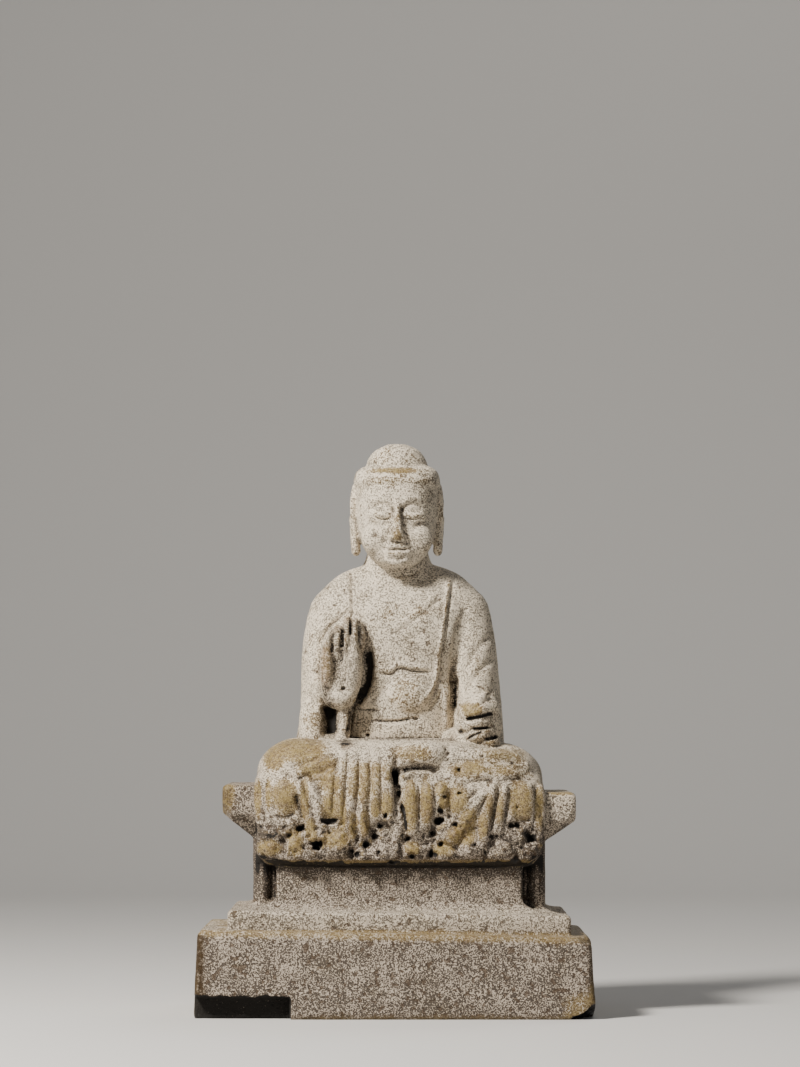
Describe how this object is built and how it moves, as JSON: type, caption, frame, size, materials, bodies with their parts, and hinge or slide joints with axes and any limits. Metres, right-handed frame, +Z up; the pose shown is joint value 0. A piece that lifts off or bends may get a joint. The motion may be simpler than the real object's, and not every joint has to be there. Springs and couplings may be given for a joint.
{
  "type": "seated stone buddha statue",
  "caption": "Seated robed figure with one hand raised, legs crossed under hanging drapery, on a stepped throne, carved from one block of stone.",
  "frame": {"origin": "middle of the plinth's underside, on the ground", "axes": "+Z up; the figure faces -Y; +X is to the right of someone who faces it"},
  "size_m": [0.2532, 0.15, 0.3685],
  "materials": {
    "stone": "matte, pitted crust, worn smooth on the high places"
  },
  "bodies": {
    "root": {"seated_buddha": "stone"}
  },
  "joints": []
}
